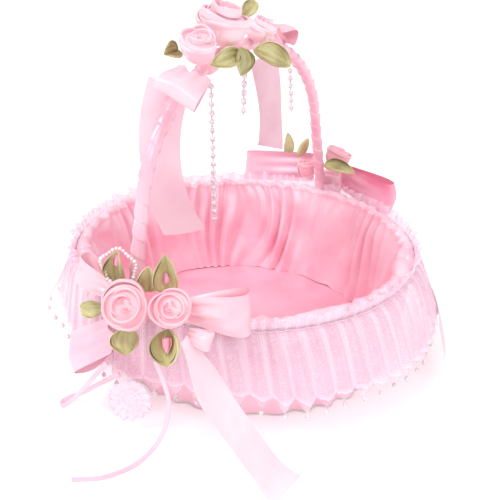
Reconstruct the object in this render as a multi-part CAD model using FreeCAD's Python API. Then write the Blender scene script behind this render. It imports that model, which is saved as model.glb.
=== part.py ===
import FreeCAD, Part
import math
import os

# Flower girl basket: a flared paperboard bowl lined with gathered satin, dressed in a satin
# underskirt, an organza skirt and a lace skirt, with a ribbon-wrapped hoop handle and three
# clusters of ribbon roses, leaves, bows and pearl strands.
# Frame: origin on the table under the middle of the bowl, +Z up, the handle spans Y.
# All lengths are in millimetres.

V = FreeCAD.Vector
Z_AXIS = V(0, 0, 1)

# ---------------------------------------------------------------- driving dimensions
RIM_A = 120.0            # rim semi-axis along X
RIM_B = 114.5            # rim semi-axis along Y, pulled in a little by the handle
RIM_Z = 82.0             # height of the rim, at the top of its ruffle
HEADER_H = 7.0           # ruffle that stands above the gathering stitches
BASE_A = 101.0           # bowl semi-axes at the table
BASE_B = 89.5
WALL = 2.0               # paperboard wall
BOARD = 2.4              # paperboard base
FELT = 0.8               # satin-covered felt under the base
LINING = 3.0             # depth of the gathered satin lining
PAD = 4.0                # floor pad
SKIRT = 2.2              # depth of one gathered skirt layer
GAP = 0.35               # play left between neighbouring pieces
SEAM = 0.05              # hairline between glued or sewn layers
FELT_LAP = 0.4           # felt that shows past the wall
RIM_WIRE_R = 1.4
RIM_WIRE_IN = 1.5        # from the rim's edge to the wire's centreline

HANDLE_CORE_R = 2.5      # cane hoop
HANDLE_WRAP_R = 4.0      # over its spiral satin ribbon
HANDLE_TOP = 215.6       # height of the hoop's centreline
TOP_ARC_R = 127.8        # crown of the hoop
SHOULDER_ARC_R = 78.3    # its two shoulders
CROWN_TURN = 35.0        # degrees from the crown to where the shoulder starts
LEG_LEAN = 13.5          # lean of the legs, from vertical
LEG_RIM_Z = 80.0         # where the leg bends in to follow the wall
LEG_FOOT_Z = 14.0
LEG_BEND_R = 10.0        # bend of the cane at the rim
LEG_PLAY = 1.2           # between a leg's ribbon and the wall
LEG_ROOM = 1.6           # slot in the skirts round each leg
WRAP_FIT = 0.02          # ribbon wound tight on the cane
TIE_FIT = 0.1
KNOT_T = 2.1             # ribbon knotted round the crown of the handle
KNOT_W = 12.0
TIE = 1.2                # cord that ties each leg to the wall
TIE_HEIGHTS = (28.0, 58.0)

WIDE = 25.4              # wide satin ribbon
NARROW = 3.0             # narrow satin ribbon
SATIN = 0.8              # ribbon thickness with its folded edge
PEARL_R = 2.0            # strung pearl
PEARL_PITCH = 5.6
PEARL_BORE_R = 0.5
THREAD_R = 0.25
THREAD_HEAD = 7.0        # bare thread above a strand's first pearl
THREAD_END = 1.5         # and below its last
LEAF_T = 1.2             # folded satin leaf
LOOP_NECK = 2.0          # half height of a bow loop where it enters the knot
SEED_R = 1.1             # seed pearl
RING_R = 10.5            # ring of seed pearls round one leaf
RING_COUNT = 26
DROP_R = 2.0             # hem pearl
DROP_COUNT = 40
DROP_IN = 1.2            # from the lace hem's edge to a hem pearl's centre
DROP_PLAY = 0.8          # between the lace hem and a hem pearl

os.makedirs("parts", exist_ok=True)


def save(name, shape):
    shape.exportStep("parts/%s.step" % name)
    print("%-26s solids %3d  volume %9.1f" % (name, len(shape.Solids), shape.Volume))


# ---------------------------------------------------------------- general shapes
def ellipse_wire(a, b, z):
    """A level ellipse about the Z axis; a is along X and b along Y."""
    if a >= b:
        curve = Part.Ellipse(V(0, 0, z), a, b)
    else:
        curve = Part.Ellipse(V(0, b, z), V(a, 0, z), V(0, 0, z))
    return Part.Wire([curve.toShape()])


def frustum(low, high):
    """A solid between two level ellipses, each given as (a, b, z)."""
    return Part.makeLoft([ellipse_wire(*low), ellipse_wire(*high)], True, True)


def along(low, high, z):
    """The ellipse at height z on the cone through two ellipses."""
    t = (z - low[2]) / (high[2] - low[2])
    return (low[0] + t * (high[0] - low[0]), low[1] + t * (high[1] - low[1]), z)


def grown(ring, by):
    return (ring[0] + by, ring[1] + by, ring[2])


def cone_shell(low, high, thickness):
    """A flared shell whose outer face runs through two ellipses."""
    spare = 1.0
    under = along(low, high, low[2] - spare)
    over = along(low, high, high[2] + spare)
    inner = frustum(grown(under, -thickness), grown(over, -thickness))
    return frustum(low, high).cut(inner)


def placed(shape, origin, x_dir, z_dir):
    """A shape moved so that its own X runs along x_dir and its Z leans towards z_dir."""
    x = V(*x_dir).normalize()
    y = V(*z_dir).cross(x).normalize()
    z = x.cross(y)
    o = V(*origin)
    matrix = FreeCAD.Matrix(x.x, y.x, z.x, o.x, x.y, y.y, z.y, o.y, x.z, y.z, z.z, o.z, 0, 0, 0, 1)
    out = shape.copy()
    out.Placement = FreeCAD.Placement(matrix).multiply(shape.Placement)
    return out


def rounded_path(points):
    """Straight runs joined by tangent arcs, each as large as its two runs allow, and the arcs' radii."""
    pts = [V(*p) for p in points]
    edges, radii = [], []
    start = pts[0]
    for i in range(1, len(pts) - 1):
        before = pts[i] - pts[i - 1]
        after = pts[i + 1] - pts[i]
        turn = before.getAngle(after)
        run = min(before.Length, after.Length)
        radius = 0.45 * run / math.tan(turn / 2)
        cut = radius * math.tan(turn / 2)
        into = before.normalize()
        out = after.normalize()
        a = pts[i] - into * cut
        b = pts[i] + out * cut
        middle = (out - into).normalize() * (radius / math.cos(turn / 2) - radius)
        edges.append(Part.LineSegment(start, a).toShape())
        edges.append(Part.Arc(a, pts[i] + middle, b).toShape())
        radii.append(radius)
        start = b
    edges.append(Part.LineSegment(start, pts[-1]).toShape())
    return Part.Wire(edges), radii


def tube(wire, radius):
    """A round bar along a wire of straight runs and tangent arcs."""
    edge = wire.OrderedEdges[0]
    tangent = edge.tangentAt(edge.FirstParameter)
    section = Part.Wire([Part.Circle(edge.valueAt(edge.FirstParameter), tangent, radius).toShape()])
    return wire.makePipeShell([section], True, True)


def cord(name, points, radius):
    """A free cord's plain tube; the arc radii and the volume ratio are printed."""
    wire, radii = rounded_path(points)
    solid = tube(wire, radius)
    ratio = solid.Volume / (math.pi * radius ** 2 * wire.Length)
    facts = (name, wire.Length, min(radii), ratio)
    print("%-26s length %.0f  smallest radius %.1f  volume ratio %.3f" % facts)
    return solid


# ---------------------------------------------------------------- soft pieces
def rose(radius, height):
    """A ribbon rose as a plain turned bud: narrow foot, full belly, narrower flat top."""
    foot = V(0.35 * radius, 0, 0)
    belly = V(radius, 0, 0.48 * height)
    lip = V(0.62 * radius, 0, height)
    heart = V(0, 0, height)
    edges = [
        Part.LineSegment(V(0, 0, 0), foot).toShape(),
        Part.Arc(foot, belly, lip).toShape(),
        Part.LineSegment(lip, heart).toShape(),
        Part.LineSegment(heart, V(0, 0, 0)).toShape(),
    ]
    return Part.Face(Part.Wire(edges)).revolve(V(0, 0, 0), Z_AXIS, 360)


def leaf(length, width):
    """A pointed satin leaf lying in XY, with its stem end at the origin and its belly below midway."""
    stem = V(0, 0, 0)
    tip = V(length, 0, 0)
    belly = 0.45 * length
    side = Part.Arc(stem, V(belly, width / 2, 0), tip).toShape()
    other = Part.Arc(tip, V(belly, -width / 2, 0), stem).toShape()
    return Part.Face(Part.Wire([side, other])).extrude(V(0, 0, LEAF_T))


def teardrop(length, height, neck):
    """A loop's side outline in XZ: straight from the knot, round at the far end."""
    r = height / 2
    low = V(0, 0, -neck)
    high = V(0, 0, neck)
    under = V(length - r, 0, -r)
    over = V(length - r, 0, r)
    edges = [
        Part.LineSegment(high, over).toShape(),
        Part.Arc(over, V(length, 0, 0), under).toShape(),
        Part.LineSegment(under, low).toShape(),
        Part.LineSegment(low, high).toShape(),
    ]
    return Part.Face(Part.Wire(edges))


def bow_loop(length, height, width):
    """One loop of a bow: a band that runs out along X and back, its width along Y."""
    outer = teardrop(length, height, LOOP_NECK)
    inner = teardrop(length - 2 * SATIN, height - 2 * SATIN, LOOP_NECK / 2)
    inner.translate(V(SATIN, 0, 0))
    band = outer.cut(inner).extrude(V(0, width, 0))
    band.translate(V(0, -width / 2, 0))
    return band


def arc_band(radius, start, end, width):
    """A flat ribbon that curves in its own plane (XZ), centred on an arc; angles in degrees."""
    def point(r, angle):
        a = math.radians(angle)
        return V(r * math.cos(a), -SATIN / 2, r * math.sin(a))

    inner = radius - width / 2
    outer = radius + width / 2
    middle = (start + end) / 2
    edges = [
        Part.Arc(point(inner, start), point(inner, middle), point(inner, end)).toShape(),
        Part.LineSegment(point(inner, end), point(outer, end)).toShape(),
        Part.Arc(point(outer, end), point(outer, middle), point(outer, start)).toShape(),
        Part.LineSegment(point(outer, start), point(inner, start)).toShape(),
    ]
    return Part.Face(Part.Wire(edges)).extrude(V(0, SATIN, 0))


def strip(points, width):
    """A wide ribbon whose side view is a rounded path in XZ and whose width is along Y."""
    wire = rounded_path([(x, 0, z) for x, z in points])[0]
    edge = wire.OrderedEdges[0]
    tangent = edge.tangentAt(edge.FirstParameter)
    normal = V(tangent.z, 0, -tangent.x)
    origin = edge.valueAt(edge.FirstParameter) - normal * (SATIN / 2)
    corners = [origin + V(0, -width / 2, 0), origin + V(0, width / 2, 0)]
    corners += [corners[1] + normal * SATIN, corners[0] + normal * SATIN]
    profile = Part.makePolygon(corners + [corners[0]])
    return wire.makePipeShell([profile], True, True)


def bead(centre, direction, radius, bore):
    """A pearl with a hole through it along its string."""
    ball = Part.makeSphere(radius, V(*centre))
    d = V(*direction).normalize()
    reach = radius + 1.0
    hole = Part.makeCylinder(bore, 2 * reach, V(*centre) - d * reach, d)
    return ball.cut(hole)


# ---------------------------------------------------------------- bowl
BASE = (BASE_A, BASE_B, 0.0)
RIM = (RIM_A, RIM_B, RIM_Z)
WALL_TOP = RIM_Z - HEADER_H + 1.0      # the wall ends just above the gathering stitches


def wall_at(z, inwards=0.0):
    """The wall's outer ellipse at height z, set in by a given amount."""
    return grown(along(BASE, RIM, z), -inwards)


def make_bowl():
    save("base_felt", frustum(wall_at(0, -FELT_LAP), wall_at(FELT, -FELT_LAP)))
    inside = WALL + GAP
    board_low = FELT + SEAM
    board_high = board_low + BOARD
    save("base_board", frustum(wall_at(board_low, inside), wall_at(board_high, inside)))
    pad_low = board_high + GAP
    save("floor_pad", frustum(wall_at(pad_low, inside), wall_at(pad_low + PAD, inside)))
    save("side_wall", cone_shell(wall_at(FELT + SEAM), wall_at(WALL_TOP), WALL))
    lining_low = pad_low + PAD + GAP
    save("wall_lining", cone_shell(wall_at(lining_low, inside), wall_at(WALL_TOP, inside), LINING))
    ring = Part.makeTorus(RIM_A - RIM_WIRE_IN, RIM_WIRE_R, V(0, 0, 0), Z_AXIS)
    oval = FreeCAD.Matrix()
    oval.scale(V(1.0, (RIM_B - RIM_WIRE_IN) / (RIM_A - RIM_WIRE_IN), 1.0))
    wire = ring.transformGeometry(oval)
    wire.translate(V(0, 0, WALL_TOP + RIM_WIRE_R + GAP))
    save("rim_wire", wire)


# ---------------------------------------------------------------- handle
def crown_point(turn):
    """A point of the hoop's right half, turned by an angle from the crown."""
    a = math.radians(min(turn, CROWN_TURN))
    y = TOP_ARC_R * math.sin(a)
    z = HANDLE_TOP - TOP_ARC_R * (1 - math.cos(a))
    if turn > CROWN_TURN:
        b = math.radians(turn)
        y += SHOULDER_ARC_R * (math.sin(b) - math.sin(a))
        z -= SHOULDER_ARC_R * (math.cos(a) - math.cos(b))
    return V(0, y, z)


def handle_path():
    """The whole hoop in the YZ plane, from the left foot to the right foot."""
    shoulder_end = 90 - LEG_LEAN
    shoulder = crown_point(shoulder_end)
    lean = math.radians(LEG_LEAN)
    bend = shoulder + V(0, math.sin(lean), -math.cos(lean)) * ((shoulder.z - LEG_RIM_Z) / math.cos(lean))
    foot_b = wall_at(LEG_FOOT_Z)[1] + HANDLE_WRAP_R + LEG_PLAY
    foot = V(0, foot_b, LEG_FOOT_Z)
    half_turn = bend.sub(shoulder).getAngle(foot.sub(bend)) / 2
    cut = LEG_BEND_R * math.tan(half_turn)
    into = (bend - shoulder).normalize()
    out = (foot - bend).normalize()
    a = bend - into * cut
    b = bend + out * cut
    corner = bend + (out - into).normalize() * LEG_BEND_R * (1 / math.cos(half_turn) - 1)
    right = [
        Part.Arc(crown_point(0), crown_point(CROWN_TURN / 2), crown_point(CROWN_TURN)).toShape(),
        Part.Arc(crown_point(CROWN_TURN), crown_point((CROWN_TURN + shoulder_end) / 2), shoulder).toShape(),
        Part.LineSegment(shoulder, a).toShape(),
        Part.Arc(a, corner, b).toShape(),
        Part.LineSegment(b, foot).toShape(),
    ]
    left = [edge.mirror(V(0, 0, 0), V(0, 1, 0)) for edge in right]
    return Part.Wire(Part.__sortEdges__(left + right))


HOOP = handle_path()


def make_handle():
    save("handle_core", tube(HOOP, HANDLE_CORE_R))
    wrap = tube(HOOP, HANDLE_WRAP_R).cut(tube(HOOP, HANDLE_CORE_R + WRAP_FIT))
    save("handle_wrap", wrap)
    leg = HOOP.Edges[-1] if HOOP.Edges[-1].BoundBox.YMin > 0 else HOOP.Edges[0]
    foot, top = sorted([vertex.Point for vertex in leg.Vertexes], key=lambda point: point.z)
    ties = []
    for z in TIE_HEIGHTS:
        y = foot.y + (top.y - foot.y) * (z - foot.z) / (top.z - foot.z)
        for side in (-1, 1):
            centre = V(0, side * y, z)
            slope = V(0, side * (top.y - foot.y), top.z - foot.z)
            inner_r = HANDLE_WRAP_R + TIE_FIT
            ring = Part.makeCylinder(inner_r + TIE, TIE, centre, slope)
            ties.append(ring.cut(Part.makeCylinder(inner_r, TIE, centre, slope)))
    save("handle_ties", Part.makeCompound(ties))


# ---------------------------------------------------------------- skirts
GATHER_Z = RIM_Z - HEADER_H - 1.0
UNDERSKIRT = ((111.5, 100.0, 0.6), (RIM_A + 1.6, RIM_B + 1.6, GATHER_Z))
ORGANZA = ((124.0, 106.0, 12.0), (RIM_A + 4.2, RIM_B + 4.2, GATHER_Z))
LACE = ((144.0, 124.0, 28.0), (RIM_A + 6.9, RIM_B + 6.9, GATHER_Z))
HEADER = ((RIM_A + 3.6, RIM_B + 3.6, GATHER_Z + 1.0), (RIM_A + 5.6, RIM_B + 5.6, RIM_Z + 1.0))


def make_skirts():
    leg_room = tube(HOOP, HANDLE_WRAP_R + LEG_ROOM)
    for name, (low, high) in (
        ("satin_underskirt", UNDERSKIRT),
        ("organza_skirt", ORGANZA),
        ("lace_skirt", LACE),
        ("lace_header", HEADER),
    ):
        save(name, cone_shell(low, high, SKIRT).cut(leg_room))
    drops = []
    hem_a, hem_b, hem_z = grown(LACE[0], -DROP_IN)
    for i in range(DROP_COUNT):
        angle = 2 * math.pi * i / DROP_COUNT
        centre = V(hem_a * math.cos(angle), hem_b * math.sin(angle), hem_z - DROP_R - DROP_PLAY)
        drops.append(Part.makeSphere(DROP_R, centre))
    save("hem_pearls", Part.makeCompound(drops))


# ---------------------------------------------------------------- top cluster
def save_leaves(leaves):
    """Leaves by name, each as stem point, tip direction, face normal, length and width."""
    for name, (stem, tip, normal, length, width) in leaves.items():
        save(name, placed(leaf(length, width), stem, tip, normal))


def make_top_cluster():
    save("rose_top_large", placed(rose(17.0, 25.0), (4.5, -33.5, 221.5), (0, 1, 0), (0.25, -0.15, 1)))
    save("rose_top_left", placed(rose(12.5, 17.0), (7.5, -60, 217), (0, 1, 0.3), (0.35, -0.2, 1)))
    save("rose_top_right", placed(rose(11.0, 16.0), (7.5, 6, 217.5), (0, 1, -0.15), (0.35, 0.35, 1)))
    save_leaves({
        "leaf_top_left": ((-8, -57, 220), (-0.05, -1, -0.1), (0.9, -0.2, 0.6), 14, 12),
        "leaf_top_front_a": ((19, -33, 217), (-0.33, -0.9, -0.2), (0.9, -0.3, 0.4), 23, 13),
        "leaf_top_front_b": ((17, -27, 219.5), (0.1, -0.4, -0.9), (1, -0.3, 0.4), 17, 15),
        "leaf_top_right": ((14, -8, 215), (0.5, 0.7, -0.5), (0.8, -0.4, 0.6), 26, 17),
        "leaf_top_back": ((-3.5, 5, 231.5), (-0.1, 0.9, 0.3), (0.7, -0.4, 0.8), 18, 11),
    })
    left = placed(bow_loop(29, 11, WIDE), (13.5, -69, 212), (0.242, -0.951, -0.206), (0.46, -0.075, 0.887))
    right = placed(bow_loop(26, 13, 20), (-1, 38, 221.5), (-0.15, 1, -0.32), (0.15, 0.3, 1))
    save("bow_top_loop_left", left)
    save("bow_top_loop_right", right)
    inner_r = HANDLE_WRAP_R + GAP
    knot = Part.makeCylinder(inner_r + KNOT_T, KNOT_W, V(0, 0, -KNOT_W / 2))
    knot = knot.cut(Part.makeCylinder(inner_r, 2 * KNOT_W, V(0, 0, -KNOT_W)))
    save("bow_top_knot", placed(knot, (0, -36.5, 210.25), (1, 0, 0), (0, -0.958, -0.286)))


def hanging_tail(radius, low, high, middle, across):
    """A wide ribbon that hangs in a vertical plane along an arc between two angles."""
    band = arc_band(abs(radius), low, high, WIDE)
    band.translate(V(-abs(radius), 0, 0))
    if radius < 0:
        band = band.mirror(V(0, 0, 0), V(1, 0, 0))
    return placed(band, middle, across, Z_AXIS)


def make_top_tails():
    save("tail_top_left", hanging_tail(-115, -27.5, 17.5, (-14.2, -69.7, 161.5), (0.84, 0.54, 0)))
    save("tail_top_right", hanging_tail(190, -2.4, 16.0, (-1.0, 39.0, 142.0), (0.2, 0.98, 0)))


def strand(name, top, count, lean):
    """A string of bored pearls that hangs from a stitch; the string passes through them all."""
    direction = V(0, lean, -1.0).normalize()
    start = V(*top)
    length = THREAD_HEAD + PEARL_PITCH * (count - 1) + PEARL_R + THREAD_END
    beads = []
    for i in range(count):
        centre = start + direction * (THREAD_HEAD + i * PEARL_PITCH)
        beads.append(bead(centre, direction, PEARL_R, PEARL_BORE_R))
    save("%s_thread" % name, Part.makeCylinder(THREAD_R, length, start, direction))
    save("%s_pearls" % name, Part.makeCompound(beads))


def make_strands():
    strand("strand_left", (0.0, -36.0, 203.0), 17, 0.004)
    strand("strand_mid_a", (1.5, 0.0, 208.5), 6, -0.06)
    strand("strand_mid_b", (-1.5, 4.6, 208.5), 5, -0.06)
    strand("strand_right", (0.0, 61.5, 195.0), 6, 0.12)


# ---------------------------------------------------------------- front cluster
def make_front_cluster():
    large = placed(rose(15.6, 20.0), (5.5, -128, 86), (0.88, 0.47, 0), (0.45, -0.85, 0.6))
    small = placed(rose(12.4, 18.0), (34.5, -123.5, 91.5), (0.83, 0.55, 0), (0.5, -0.75, 0.65))
    save("rose_front_large", large)
    save("rose_front_small", small)
    save_leaves({
        "leaf_front_ringed": ((-8, -122, 95.5), (0.1, 0.05, 1), (0.2, -1, 0.1), 23, 15),
        "leaf_front_mid": ((13.5, -119.5, 95.5), (0, 0.05, 1), (0.5, -1, 0), 17, 14),
        "leaf_front_tall": ((26, -118.5, 98), (-0.02, 0.06, 1), (0.6, -1, 0), 25, 16),
        "leaf_front_left": ((-16.5, -129, 79), (-1, 0.1, -0.37), (0.3, -1, 0.3), 20, 12),
        "leaf_front_low": ((7, -133.5, 75), (0.2, -0.35, -0.9), (0.4, -1, 0.4), 15, 19),
        "leaf_front_folded": ((37, -133, 84.5), (0.2, -0.32, -0.93), (0.5, -1, 0.4), 20, 19),
    })
    seeds = []
    for i in range(RING_COUNT):
        angle = 2 * math.pi * i / RING_COUNT
        seeds.append(Part.makeSphere(SEED_R, V(RING_R * math.cos(angle), RING_R * math.sin(angle), 0)))
    ring = Part.makeCompound(seeds)
    save("seed_pearl_ring", placed(ring, (-4, -125.5, 109), (1, 0.4, 0), (0.4, -1, 0.1)))
    right = placed(bow_loop(29, 15, WIDE), (48, -118.5, 92), (0.93, 0.34, 0.1), (0.34, -0.93, 0.1))
    left = placed(bow_loop(22, 11, 20), (-16.5, -127, 93.5), (-0.96, 0.15, 0.2), (-0.15, -0.98, 0.1))
    lobe = placed(bow_loop(40, 14, WIDE), (-11, -134.5, 62.5), (-0.78, 0.02, -0.6), (-0.3, -0.93, 0.35))
    tiny = placed(bow_loop(14, 8, 11), (49, -130, 84), (0.95, 0.1, -0.05), (-0.1, -0.9, 0.4))
    save("bow_front_loop_right", right)
    save("bow_front_loop_left", left)
    save("bow_front_lobe", lobe)
    save("bow_front_loop_small", tiny)


LONG_RIBBON = [
    (29, -136.5, 62), (36, -138, 51), (40, -139, 38), (38.5, -141, 24),
    (34.5, -146, 10), (29.5, -156, 1.9), (25, -169, 1.55), (16.5, -181, 1.55), (5, -188, 1.55),
]
RIBBON_LOOP = [
    (-4, -143, 52), (-15, -144.5, 38), (-29, -146, 20), (-42, -147, 5.5), (-51, -146, 1.7),
    (-51, -136.5, 1.8), (-38, -137, 10), (-18, -140, 28), (4, -141.5, 46),
]
WIDE_TAIL = [(0, 75), (10, 54), (25, 34), (40, 16), (52, 0.4), (59, 0.4)]


def make_front_ribbons():
    save("ribbon_front_long", cord("ribbon_front_long", LONG_RIBBON, NARROW / 2))
    save("ribbon_front_loop", cord("ribbon_front_loop", RIBBON_LOOP, NARROW / 2))
    tail = strip(WIDE_TAIL, WIDE)
    save("tail_front_wide", placed(tail, (54, -134.0, 0), (0.99, 0.14, 0), Z_AXIS))


# ---------------------------------------------------------------- back cluster
BACK_TAIL_POINTS = ((10, 131, 64), (90, 96, 48), (150, 32, 22))
BACK_TAIL_PLAY = 0.8     # between the lace skirt and the ribbon that lies on it
BACK_KNOT_SIZE = (19.0, 8.5, 22.0)
BACK_KNOT_ROUND = 3.5


def skirt_tail(points):
    """A wide ribbon lying on the lace skirt, in the slanted plane through three points."""
    start, middle, end = [V(*point) for point in points]
    run = end - start
    normal = run.cross(middle - start).normalize()
    if normal.z < 0:
        normal = normal * -1
    outwards = SATIN + BACK_TAIL_PLAY
    cover = cone_shell(grown(LACE[0], outwards), grown(LACE[1], outwards), SATIN)
    reach = run.Length / 2
    slab = Part.makeBox(run.Length, 2 * reach, WIDE, V(0, -reach, -WIDE / 2))
    return cover.common(placed(slab, start, run, normal))


def make_back_cluster():
    save("rose_back_right", placed(rose(12.5, 16.0), (8.5, 124.5, 98.7), (0.96, 0, -0.27), (0.25, 0.3, 0.9)))
    save("rose_back_left", placed(rose(10.0, 14.0), (-15.5, 123.5, 84), (1, 0, 0), (0, 0.1, 1)))
    save_leaves({
        "leaf_back_a": ((-42, 136, 93), (-0.08, 0, 1), (-0.1, 1, 0.1), 22, 11),
        "leaf_back_b": ((-29, 131, 98), (0.42, 0, 0.9), (0.1, 1, 0.1), 19, 9),
        "leaf_back_c": ((7, 112.4, 102.5), (0.97, -0.2, -0.1), (0.2, -0.5, 0.9), 32, 14),
    })
    left = placed(bow_loop(58, 17, WIDE), (-24.5, 138, 87), (-0.98, -0.16, -0.1), (-0.16, 0.98, -0.2))
    right = placed(bow_loop(56, 16, WIDE), (15, 138, 85), (0.93, -0.36, -0.03), (0.36, 0.93, -0.05))
    save("bow_back_loop_left", left)
    save("bow_back_loop_right", right)
    knot = Part.makeBox(*BACK_KNOT_SIZE, V(-3.5, 126, 70))
    save("bow_back_knot", knot.makeFillet(BACK_KNOT_ROUND, knot.Edges))
    save("tail_back_wide", skirt_tail(BACK_TAIL_POINTS))


make_bowl()
make_handle()
make_skirts()
make_top_cluster()
make_top_tails()
make_strands()
make_front_cluster()
make_front_ribbons()
make_back_cluster()
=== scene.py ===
import math
import random

import bpy
import numpy as np
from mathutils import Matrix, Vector


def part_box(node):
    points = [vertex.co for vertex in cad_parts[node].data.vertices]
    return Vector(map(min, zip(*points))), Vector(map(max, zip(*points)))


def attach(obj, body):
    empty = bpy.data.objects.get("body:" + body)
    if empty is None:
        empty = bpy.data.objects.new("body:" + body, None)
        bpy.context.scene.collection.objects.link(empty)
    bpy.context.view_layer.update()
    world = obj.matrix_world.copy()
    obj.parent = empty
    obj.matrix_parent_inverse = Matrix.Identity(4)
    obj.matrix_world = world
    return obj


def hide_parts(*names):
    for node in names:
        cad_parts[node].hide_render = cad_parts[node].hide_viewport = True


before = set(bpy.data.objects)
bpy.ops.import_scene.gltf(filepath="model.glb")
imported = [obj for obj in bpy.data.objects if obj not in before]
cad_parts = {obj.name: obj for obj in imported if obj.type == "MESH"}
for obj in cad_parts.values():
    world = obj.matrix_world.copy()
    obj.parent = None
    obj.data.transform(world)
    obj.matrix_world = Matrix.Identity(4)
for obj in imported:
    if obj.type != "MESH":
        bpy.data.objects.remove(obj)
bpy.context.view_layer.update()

# The looks of a flower girl basket: gathered satin, lace, organza, ribbon roses, bows and pearls,
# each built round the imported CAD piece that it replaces. Metres throughout.

random.seed(7)

MM = 0.001
SATIN_T = 0.35 * MM       # thickness of a ribbon
WIDE = 25.4 * MM          # width of the widest ribbon
Z_AXIS = Vector((0, 0, 1))
BASKET = "basket"


# ---------------- reading the frame
def node_points(name):
    """The CAD piece's vertices as an array."""
    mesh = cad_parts[name].data
    points = np.empty(len(mesh.vertices) * 3)
    mesh.vertices.foreach_get("co", points)
    return points.reshape(-1, 3)


def end_ring(name, top):
    """(a, b, z): semi-axes and height of a flared piece's outer edge, at its top or its bottom."""
    points = node_points(name)
    z = points[:, 2].max() if top else points[:, 2].min()
    edge = abs(points[abs(points[:, 2] - z) < 0.5 * MM])
    return np.array([edge[:, 0].max(), edge[:, 1].max(), z])


class Seat:
    """A CAD piece's own axes, and where it lies along them; place() turns local points into places."""

    def __init__(self, node, x_dir, z_dir):
        x = Vector(x_dir).normalized()
        y = Vector(z_dir).cross(x).normalized()
        self.axes = np.array([x, y, x.cross(y)])
        points = node_points(node) @ self.axes.T
        self.low = points.min(axis=0)
        self.high = points.max(axis=0)
        self.size = self.high - self.low

    def place(self, local):
        """Points given from the middle of the piece's foot along X, Y and Z, in metres."""
        middle = (self.low + self.high) / 2
        start = np.array([self.low[0], middle[1], middle[2]])
        return (np.asarray(local) + start) @ self.axes


# ---------------- mesh helpers
def grid_mesh(name, points, around=False, size=(1.0, 1.0)):
    """A smooth sheet through rows of points; its UV map runs along a row, then across, in metres."""
    points = np.asarray(points, dtype=float)
    rows, cols = points.shape[:2]
    mesh = bpy.data.meshes.new(name)
    faces = []
    uvs = []
    last = cols if around else cols - 1
    for i in range(rows - 1):
        for j in range(last):
            k = (j + 1) % cols
            faces.append((i * cols + j, i * cols + k, (i + 1) * cols + k, (i + 1) * cols + j))
            u0, u1 = j / last * size[0], (j + 1) / last * size[0]
            v0, v1 = i / (rows - 1) * size[1], (i + 1) / (rows - 1) * size[1]
            uvs += [u0, v0, u1, v0, u1, v1, u0, v1]
    mesh.from_pydata(points.reshape(-1, 3).tolist(), [], faces)
    layer = mesh.uv_layers.new(name="cloth")
    layer.data.foreach_set("uv", uvs)
    mesh.polygons.foreach_set("use_smooth", [True] * len(faces))
    mesh.update()
    return mesh


def linked(name, data):
    """A new object with the given data, in the scene."""
    made = bpy.data.objects.new(name, data)
    bpy.context.scene.collection.objects.link(made)
    return made


def add_piece(name, mesh, material, body, nodes=(), thick=0.0, smooth=0):
    """A finished piece: its material, the body it rides on, and the CAD pieces it stands for."""
    piece = linked(name, mesh)
    mesh.materials.append(material)
    if smooth:
        level = piece.modifiers.new("smooth", "SUBSURF")
        level.levels = smooth
        level.render_levels = smooth
    if thick:
        shell = piece.modifiers.new("thick", "SOLIDIFY")
        shell.thickness = thick
        shell.offset = 0.0
    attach(piece, body)
    if nodes:
        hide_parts(*nodes)
    return piece


def joined(name, parts):
    """One mesh from several; every part keeps its UV map."""
    verts, faces, uvs = [], [], []
    for part in parts:
        start = len(verts)
        verts += [tuple(v.co) for v in part.vertices]
        layer = part.uv_layers["cloth"].data
        for face in part.polygons:
            faces.append([start + v for v in face.vertices])
            for loop in face.loop_indices:
                uvs += list(layer[loop].uv)
        bpy.data.meshes.remove(part)
    mesh = bpy.data.meshes.new(name)
    mesh.from_pydata(verts, [], faces)
    mesh.uv_layers.new(name="cloth").data.foreach_set("uv", uvs)
    mesh.polygons.foreach_set("use_smooth", [True] * len(faces))
    mesh.update()
    return mesh


def mix(a, b, share):
    return a + (b - a) * share


def ease(x):
    """0 to 1, level at both ends."""
    x = np.clip(x, 0.0, 1.0)
    return x * x * (3 - 2 * x)


def row_shares(count, first=0.0, last=1.0):
    """Evenly spaced numbers as a column: one to each row of a grid."""
    return np.linspace(first, last, count)[:, None]


def col_shares(count, first=-1.0, last=1.0):
    """Evenly spaced numbers as a row: one to each column of a grid."""
    return np.linspace(first, last, count)[None, :]


def around_ring(cols):
    """The directions of a closed ring's columns."""
    return np.linspace(0, 2 * math.pi, cols, endpoint=False)[None, :]


def ring_points(turn, a, b, z):
    """Points on level ellipses; every argument broadcasts to rows and columns."""
    x, y, z = np.broadcast_arrays(a * np.cos(turn), b * np.sin(turn), z)
    return np.stack([x, y, z], axis=-1)


def spread(origin, *terms):
    """Points at an origin plus each term's distances along its direction."""
    for distances, direction in terms:
        origin = origin + distances[..., None] * direction
    return origin


def unit_rows(vectors):
    return vectors / np.linalg.norm(vectors, axis=1)[:, None]


def ball_mesh(name, centre, radius, stretch=(1.0, 1.0, 1.0), around=12, rows=8):
    """A small bead: a ball of rings, stretched along each axis."""
    tilt = row_shares(rows + 1, last=math.pi)
    ball = ring_points(around_ring(around), np.sin(tilt), np.sin(tilt), np.cos(tilt))
    return grid_mesh(name, np.asarray(centre) + radius * np.asarray(stretch) * ball, around=True)


def tube_mesh(name, line, radius, sides, closed=False, flat=1.0, up=(0, 0, 1)):
    """A tube along a line; flat below 1 makes it a ribbon, its width across both the line and up."""
    line = np.asarray(line)
    if closed:
        tangent = unit_rows(np.roll(line, -1, axis=0) - np.roll(line, 1, axis=0))
    else:
        tangent = unit_rows(np.gradient(line, axis=0))
    side = unit_rows(np.cross(tangent, up))
    over = np.cross(side, tangent)
    ring = [line + radius * (math.cos(t) * side + flat * math.sin(t) * over) for t in around_ring(sides)[0]]
    points = np.stack(ring, axis=1)
    if closed:
        points = np.concatenate([points, points[:1]])
    return grid_mesh(name, points, around=True, size=(0.02, 0.2))


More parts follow.
